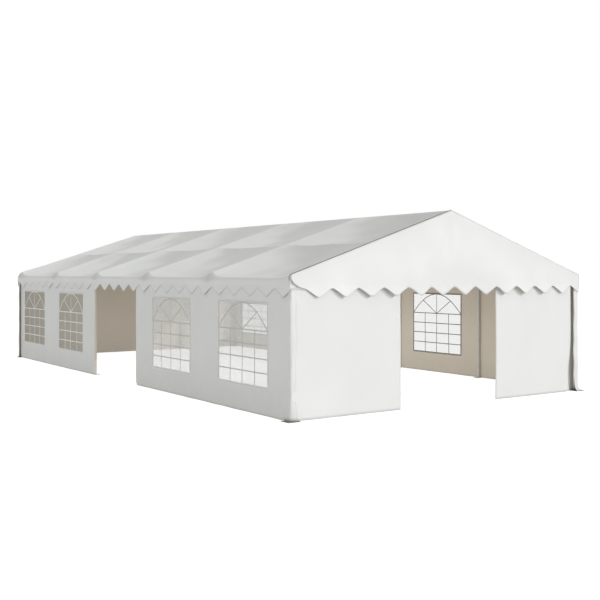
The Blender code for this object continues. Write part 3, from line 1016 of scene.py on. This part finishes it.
class MARQUEE_OT_roof_cover(bpy.types.Operator):
    """Make the roof cover, with both side valances in the same sheet."""

    bl_idname = "marquee.roof_cover"
    bl_label = "Roof cover"

    def execute(self, context):
        shape = RoofShape(context.scene.marquee_cover)
        y = roof_columns()
        right = shape.surface(y, 1)
        left = shape.surface(y, -1)
        points = np.concatenate([left[:, :0:-1], right], axis=1)
        middle = len(y) // 2
        along = np.linalg.norm(np.diff(points[middle], axis=0), axis=1)
        across = np.concatenate([[0.0], np.cumsum(along)])
        uvs = np.stack(np.meshgrid(across, y), axis=-1)
        mesh = sheet_mesh("roof_cover", points, uvs)
        # The cover's painted shade, kept in a mesh attribute that the roof's finish reads.
        half = shape.painted_shade(y)
        dull = np.concatenate([half[:, :0:-1], half], axis=1)
        shaded = mesh.attributes.new("painted_shade", "FLOAT", "POINT")
        shaded.data.foreach_set("value", dull.reshape(-1).astype(np.float32))
        piece = place("roof_cover", mesh, ["roof_cloth", "cloth_inside"], "white_sheet")
        thicken(piece)
        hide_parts("roof_left", "roof_right", "valance_left", "valance_right")
        return {"FINISHED"}


class MARQUEE_OT_gable_cloths(bpy.types.Operator):
    """Make the front and rear gable triangles with their scalloped hems."""

    bl_idname = "marquee.gable_cloths"
    bl_label = "Gable cloths"

    def execute(self, context):
        sizes = context.scene.marquee_cover
        for end, sign in (("front", -1), ("rear", 1)):
            piece, area = self.gable(f"gable_cloth_{end}", sign, sizes)
            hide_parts(f"gable_{end}")
            rolled = [self.rolled_edge(context), self.corner_cap(context)] if end == "front" else []
        return {"FINISHED"}

    def rolled_edge(self, context):
        """The roll of cloth along the front gable's cut corner."""
        share = np.linspace(0.0, 1.0, 16)
        places, heights = np.array(CUT_CORNER).T
        along = np.linspace(0.0, 1.0, len(places))
        x = np.interp(share, along, places)
        z = np.interp(share, along, heights) + 0.010 * np.sin(np.pi * share)
        y = np.full_like(x, -HALF_LENGTH - 0.026)
        tapers = 0.35 + 0.65 * np.sin(np.pi * np.clip(share * 1.1, 0, 1)) + 0.10 * np.sin(share * 19)
        line = np.stack([x, y, z], axis=1)
        mesh = tube_mesh(context, "rolled_hem", line, 0.013, tapers)
        return place("rolled_hem", mesh, ["gable_cloth"], "white_sheet")

    def corner_cap(self, context):
        """The cloth that closes the corner between the cut hem and the wall below it."""
        walls = context.scene.marquee_walls
        left, front = -HALF_WIDTH - 0.0004, -HALF_LENGTH - 0.0012
        path = PlanPath([(left, front + 0.012), (left, front), (-2.70, front)], 0.006)
        shape = WallShape(path, walls, 33, top=1.975)
        shape.foot = 1.80
        return wall_piece("corner_cap", shape, outer="gable_cloth")[0]

    def gable(self, name, sign, sizes):
        """A gable in the plane of the verge, with soft folds and a hem that stands off."""
        half = PITCH / 2
        marks = [-HALF_WIDTH + k * half for k in range(2 * SCALLOPS_ACROSS + 1)]
        reach = HALF_WIDTH + 0.001 + (sizes.rear_bulge if sign > 0 else 0.0)
        x = stops_between(-reach, reach, marks, 0.04)
        share = np.linspace(0.0, 1.0, 34)[:, None]
        hem = scallop(x, -HALF_WIDTH, sizes.gable_roundness)
        if sign < 0:
            cut = x < CUT_CORNER[-1][0]
            places, heights = np.array(CUT_CORNER).T
            hem = np.where(cut, np.interp(x, places, heights), hem)
        top = verge_height(np.abs(x), sizes, sign)
        z = hem[None, :] + (top - hem)[None, :] * share
        grid_x = np.broadcast_to(x[None, :], z.shape)
        below = np.clip((top[None, :] - z) / 0.9, 0, 1)
        stand = sizes.gable_stand * smooth(0.05, 1.0, below)
        end_calm = smooth(0.0, 0.35, HALF_WIDTH - np.abs(grid_x))
        flare = 0.010 * (1 - smooth(HEM_TIP, HEM_VALLEY + 0.05, z))
        angle = grid_x / np.maximum(RIDGE_Z + 0.25 - z, 0.25)
        rays = np.exp(-((angle / 0.80) ** 2)) * np.sin(angle * 9.0 + 0.9 * np.sin(angle * 4.0) + 0.4)
        falls = soft_waves(grid_x, z * 0.5, 0.60, 31) * 0.45
        hold = smooth(0.0, 0.45, top[None, :] - z)
        folds = sizes.gable_fold * hold * (0.75 * rays + falls)
        out = 0.007 + (stand + flare) * (0.25 + 0.75 * end_calm) + folds * end_calm
        y = sign * (HALF_LENGTH + out)
        points = np.stack([grid_x, y, z], axis=-1)
        uvs = np.stack([grid_x, z], axis=-1)
        if sign > 0:
            points = points[:, ::-1]
            uvs = uvs[:, ::-1]
        mesh = sheet_mesh(name, points, uvs)
        piece = place(name, mesh, ["gable_cloth", "cloth_inside"], "white_sheet")
        thicken(piece)
        heights = (top - hem)
        area = float(np.sum((heights[1:] + heights[:-1]) / 2 * np.diff(x)))
        return piece, area


def verge_height(x, sizes, sign):
    """The top edge of a gable, just under the cover, over distances from the middle."""
    shape = RoofShape(sizes)
    edge = shape.surface([sign * HALF_LENGTH], 1)[0][: shape.count]
    return np.interp(x, edge[:, 0], edge[:, 2]) - 0.003


class MARQUEE_OT_side_walls(bpy.types.Operator):
    """Make the four side walls, their window film and the bars on it."""

    bl_idname = "marquee.side_walls"
    bl_label = "Side walls and windows"

    def execute(self, context):
        sizes = context.scene.marquee_walls
        left, right = -HALF_WIDTH, HALF_WIDTH
        front, rear = -HALF_LENGTH, HALF_LENGTH
        wrap = sizes.wrap
        turned = sizes.door_return
        open_rear = END_POST_Y - 0.032
        plans = {
            "left_front": ([(left, DOOR_FRONT_Y), (left, front), (left + wrap, front)], "stop"),
            "left_rear": (
                [(left, open_rear), (left, DOOR_REAR_Y), (left + turned, DOOR_REAR_Y)], None,
            ),
            "right_front": (
                [(right - wrap * 1.38, front), (right, front), (right, DOOR_FRONT_Y)], "start",
            ),
            "right_rear": (
                [(right - turned, DOOR_REAR_Y), (right, DOOR_REAR_Y), (right, rear),
                 (right - wrap, rear)], "stop",
            ),
        }
        for seed, (tag, (corners, loose_end)) in enumerate(plans.items()):
            self.wall(tag, corners, loose_end, sizes, 40 + 10 * seed)
        return {"FINISHED"}

    def wall(self, tag, corners, loose_end, sizes, seed):
        path = PlanPath(corners, sizes.corner)
        low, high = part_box(f"film_{tag}")
        holes = []
        for start in (low.y + FILM_MARGIN, high.y - FILM_MARGIN - WINDOW_WIDTH):
            ends = [path.distance_to(1, y) for y in (start, start + WINDOW_WIDTH)]
            holes.append(Hole(*ends))
        loose = []
        splay = []
        if loose_end:
            free = 0.0 if loose_end == "start" else path.length
            loose.append((free, 0.10, 0.026, seed + 5))
            if tag == "right_front":
                splay.append((free, 0.20, 0.076))
        rounded = {"left_front": ["start"], "right_front": ["stop"]}.get(tag, [])
        shape = WallShape(path, sizes, seed, loose=loose, splay=splay, rounded=rounded)

        def wavy(z):
            wave = 0.010 * soft_waves(z, 0 * z, 0.50, seed + 7, 4)
            narrowing = 0.075 * smooth(1.66, 1.86, z)
            return (wave + narrowing) * (1 if loose_end == "start" else -1)

        def plumb(z):
            return 0.005 * np.sin(z * 3.1 + seed)

        edges = [wavy if loose_end == end else plumb for end in ("start", "stop")]
        name = f"wall_cloth_{tag}"
        # The left rear wall's turn round the doorway post takes the lining on its outer face too: painted
        # shade in the doorway.
        turned = path.length - sizes.door_return if tag == "left_rear" else None
        piece, flat, area = wall_piece(name, shape, holes, *edges, shaded_from=turned)
        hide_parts(f"wall_{tag}")
        extra = list(window_pieces(tag, shape, holes, sizes))
        if tag == "right_front":
            behind = HALF_LENGTH - 0.062
            inner = PlanPath([(2.66, -behind), (2.930, -behind)], sizes.corner)
            flap = WallShape(inner, sizes, seed + 3)
            flap_piece, _, flap_area = wall_piece("corner_flap", flap)
            extra.append(flap_piece)
            area += flap_area


class MARQUEE_OT_end_walls(bpy.types.Operator):
    """Make the two panels beside the front doorway and the closed rear wall."""

    bl_idname = "marquee.end_walls"
    bl_label = "End walls"

    def execute(self, context):
        sizes = context.scene.marquee_walls
        front, rear = -HALF_LENGTH, HALF_LENGTH
        corner = HALF_WIDTH - 0.006
        swing = HALF_WIDTH - 0.045
        outside = HALF_WIDTH + 0.036

        def plumb(z):
            return 0.005 * np.sin(z * 2.7)

        def swinging(z):
            heights = [0.0, 0.15, 0.30, 0.45, 0.60, 0.80, 1.00, 1.30, 1.60, 1.87]
            edges = [0.210, 0.225, 0.235, 0.215, 0.187, 0.165, 0.157, 0.158, 0.162, 0.166]
            return -np.interp(z, heights, edges)

        panels = (
            ("panel_front_left", [(-corner, front), (DOOR_LEFT_X, front)], 81, None, plumb),
            ("panel_front_right", [(DOOR_RIGHT_X, front), (swing, front)], 91, plumb, swinging),
            (
                "wall_rear", [(corner, rear), (-outside, rear), (-outside, rear - 0.085)],
                101, None, None,
            ),
        )
        for node, corners, seed, edge_start, edge_stop in panels:
            path = PlanPath(corners, sizes.corner)
            loose = [(path.length, 0.10, 0.012, seed + 2)] if node == "wall_rear" else []
            shape = WallShape(path, sizes, seed, loose=loose)
            name = node.replace("panel", "cloth_panel").replace("wall", "cloth_wall")
            cloth = "gable_cloth"
            piece, flat, area = wall_piece(name, shape, (), edge_start, edge_stop, outer=cloth)
            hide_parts(node)
        return {"FINISHED"}


class MARQUEE_OT_verge_welts(bpy.types.Operator):
    """Make the cord that lies on the cover just behind each sloping edge: at the front it is dark, a
    painted shadow line, and at the rear it is plain cloth.
    """

    bl_idname = "marquee.verge_welts"
    bl_label = "Verge welts"

    def execute(self, context):
        shape = RoofShape(context.scene.marquee_cover)
        # The front cord is painted dark as a shadow line; the rear one takes the plain cloth.
        ends = (("front", -1, 0.0062, "verge_groove"), ("rear", 1, 0.0040, "cloth_outside"))
        for end, sign, radius, welt_finish in ends:
            line = self.verge_line(shape, sign * (ROOF_END - 0.026))
            line[:, 2] += radius - 0.0027
            name = f"verge_welt_{end}"
            mesh = tube_mesh(context, name, line, radius)
            place(name, mesh, [welt_finish], "white_sheet")
        return {"FINISHED"}

    def verge_line(self, shape, y):
        """The edge of the cover over both slopes, from one eave to the other."""
        right = shape.surface([y], 1)[0][: shape.count + 2]
        left = shape.surface([y], -1)[0][: shape.count + 2]
        return np.concatenate([left[:0:-1], right])


def tube_mesh(context, name, line, radius, tapers=None):
    """The mesh of a round cord along a line, with closed ends."""
    curve = bpy.data.curves.new(name, "CURVE")
    curve.dimensions = "3D"
    curve.bevel_depth = radius
    curve.bevel_resolution = 2
    curve.use_fill_caps = True
    spline = curve.splines.new("POLY")
    spline.points.add(len(line) - 1)
    for k, (spot, co) in enumerate(zip(spline.points, line)):
        spot.co = (*co, 1.0)
        spot.radius = 1.0 if tapers is None else tapers[k]
    holder = bpy.data.objects.new("cord", curve)
    context.scene.collection.objects.link(holder)
    context.view_layer.update()
    mesh = bpy.data.meshes.new_from_object(holder)
    bpy.data.objects.remove(holder)
    mesh.name = name
    mesh.materials.clear()
    mesh.shade_smooth()
    return mesh


class MARQUEE_OT_steel_frame(bpy.types.Operator):
    """Give the tubes of the frame their zinc finish."""

    bl_idname = "marquee.steel_frame"
    bl_label = "Steel frame"

    def execute(self, context):
        for name, node in frame["nodes"].items():
            if name.startswith(("post", "rafter", "ridge", "purlin", "eave", "gable_frame")):
                # Posts 2 to 5 take the paler copy of the galvanised finish, painted light on their sides.
                inner_post = name.startswith("post") and name[-1] in "2345"
                for slot in node.material_slots:
                    slot.material = finish("clean_steel" if inner_post else "galvanised")
        return {"FINISHED"}


class MARQUEE_OT_stage(bpy.types.Operator):
    """Set up a plain pale floor, soft light and the camera."""

    bl_idname = "marquee.stage"
    bl_label = "Stage"

    def execute(self, context):
        scene = context.scene
        scene.view_settings.view_transform = "Standard"
        self.floor()
        self.sky(scene)
        self.sun("key", 1.35, 5.0, (0.62, -0.70, 0.35))
        self.sun("through_doorways", 0.80, 1.5, (0.33, -0.92, 0.19))
        self.sun("overhead", 1.00, 60.0, (-0.1, -0.1, 0.99))
        self.sun("side_fill", 1.26, 60.0, (-1.0, -0.15, 0.02))
        self.sun("rear_fill", 0.60, 60.0, (0.2, 1.0, 0.02))
        self.panel("inside_fill", 88.0, (2.8, 8.0), (0.0, -1.0, 2.08))
        self.camera(scene)
        return {"FINISHED"}

    def floor(self):
        """A floor that looks white, and gives back less light than that to the tent."""
        bpy.ops.mesh.primitive_plane_add(size=400.0, location=(0, 0, -0.001))
        floor = bpy.context.object
        floor.name = "pale_floor"
        made, tree, shader = new_material("pale_floor")
        shader.inputs["Base Color"].default_value = (0.25, 0.25, 0.25, 1.0)
        shader.inputs["Roughness"].default_value = 0.9
        shader.inputs["Emission Color"].default_value = (1.0, 1.0, 1.0, 1.0)
        rays = tree.nodes.new("ShaderNodeLightPath")
        seen = math_node(tree, "MULTIPLY_ADD", rays.outputs["Is Camera Ray"], 0.52)
        seen.node.inputs[2].default_value = 0.40
        tree.links.new(seen, shader.inputs["Emission Strength"])
        floor.data.materials.append(made)

    def sky(self, scene):
        world = bpy.data.worlds.new("studio")
        scene.world = world
        world.use_nodes = True
        tree = world.node_tree
        tree.nodes.clear()
        out = tree.nodes.new("ShaderNodeOutputWorld")
        seen = add_node(tree, "ShaderNodeBackground", Color=(1, 1, 1, 1), Strength=1.0)
        lit = add_node(tree, "ShaderNodeBackground", Color=(1, 1, 1, 1), Strength=0.36)
        rays = tree.nodes.new("ShaderNodeLightPath")
        mix = tree.nodes.new("ShaderNodeMixShader")
        tree.links.new(rays.outputs["Is Camera Ray"], mix.inputs["Fac"])
        tree.links.new(lit.outputs[0], mix.inputs[1])
        tree.links.new(seen.outputs[0], mix.inputs[2])
        tree.links.new(mix.outputs[0], out.inputs["Surface"])

    def sun(self, name, strength, spread, towards):
        """A far light; towards is the direction from the tent to the light."""
        data = bpy.data.lights.new(name, "SUN")
        data.energy = strength
        data.angle = math.radians(spread)
        lamp = bpy.data.objects.new(name, data)
        lamp.rotation_euler = Vector(towards).to_track_quat("Z", "Y").to_euler()
        bpy.context.scene.collection.objects.link(lamp)

    def panel(self, name, power, size, middle):
        """A soft light panel that faces down and isn't seen itself."""
        data = bpy.data.lights.new(name, "AREA")
        data.shape = "RECTANGLE"
        data.size, data.size_y = size
        data.energy = power
        lamp = bpy.data.objects.new(name, data)
        lamp.location = middle
        lamp.visible_camera = False
        bpy.context.scene.collection.objects.link(lamp)

    def camera(self, scene):
        data = bpy.data.cameras.new("camera")
        data.sensor_width = 36.0
        data.lens = 924.36 * 36.0 / 600.0
        data.shift_x = -0.030
        data.shift_y = -0.0451
        data.clip_end = 2000.0
        camera = bpy.data.objects.new("camera", data)
        camera.location = (-6.9347 - HALF_WIDTH, -10.605 - HALF_LENGTH, 2.0351 + 0.010)
        camera.rotation_euler = (math.radians(90), 0, -0.6095)
        scene.collection.objects.link(camera)
        scene.camera = camera


class MARQUEE_PT_panel(bpy.types.Panel):
    """Lists the pieces of the tent in the sidebar."""

    bl_label = "Marquee Tent"
    bl_idname = "MARQUEE_PT_panel"
    bl_space_type = "VIEW_3D"
    bl_region_type = "UI"
    bl_category = "Marquee"

    def draw(self, context):
        for operator in OPERATORS:
            self.layout.operator(operator.bl_idname)
        for group in (context.scene.marquee_cover, context.scene.marquee_walls):
            for name in group.bl_rna.properties.keys():
                if name not in ("rna_type", "name"):
                    self.layout.prop(group, name)


OPERATORS = (
    MARQUEE_OT_steel_frame,
    MARQUEE_OT_roof_cover,
    MARQUEE_OT_gable_cloths,
    MARQUEE_OT_side_walls,
    MARQUEE_OT_end_walls,
    MARQUEE_OT_verge_welts,
    MARQUEE_OT_stage,
)
GROUPS = (MARQUEE_PG_looks, MARQUEE_PG_cover, MARQUEE_PG_walls)
CLASSES = (*GROUPS, *OPERATORS, MARQUEE_PT_panel)


def register():
    for each in CLASSES:
        bpy.utils.register_class(each)
    scene = bpy.types.Scene
    scene.marquee_looks = bpy.props.PointerProperty(type=MARQUEE_PG_looks)
    scene.marquee_cover = bpy.props.PointerProperty(type=MARQUEE_PG_cover)
    scene.marquee_walls = bpy.props.PointerProperty(type=MARQUEE_PG_walls)


def unregister():
    for name in ("marquee_looks", "marquee_cover", "marquee_walls"):
        delattr(bpy.types.Scene, name)
    for each in reversed(CLASSES):
        bpy.utils.unregister_class(each)


def main():
    register()
    for operator in OPERATORS:
        group, name = operator.bl_idname.split(".")
        getattr(getattr(bpy.ops, group), name)()


if __name__ == "__main__":
    main()
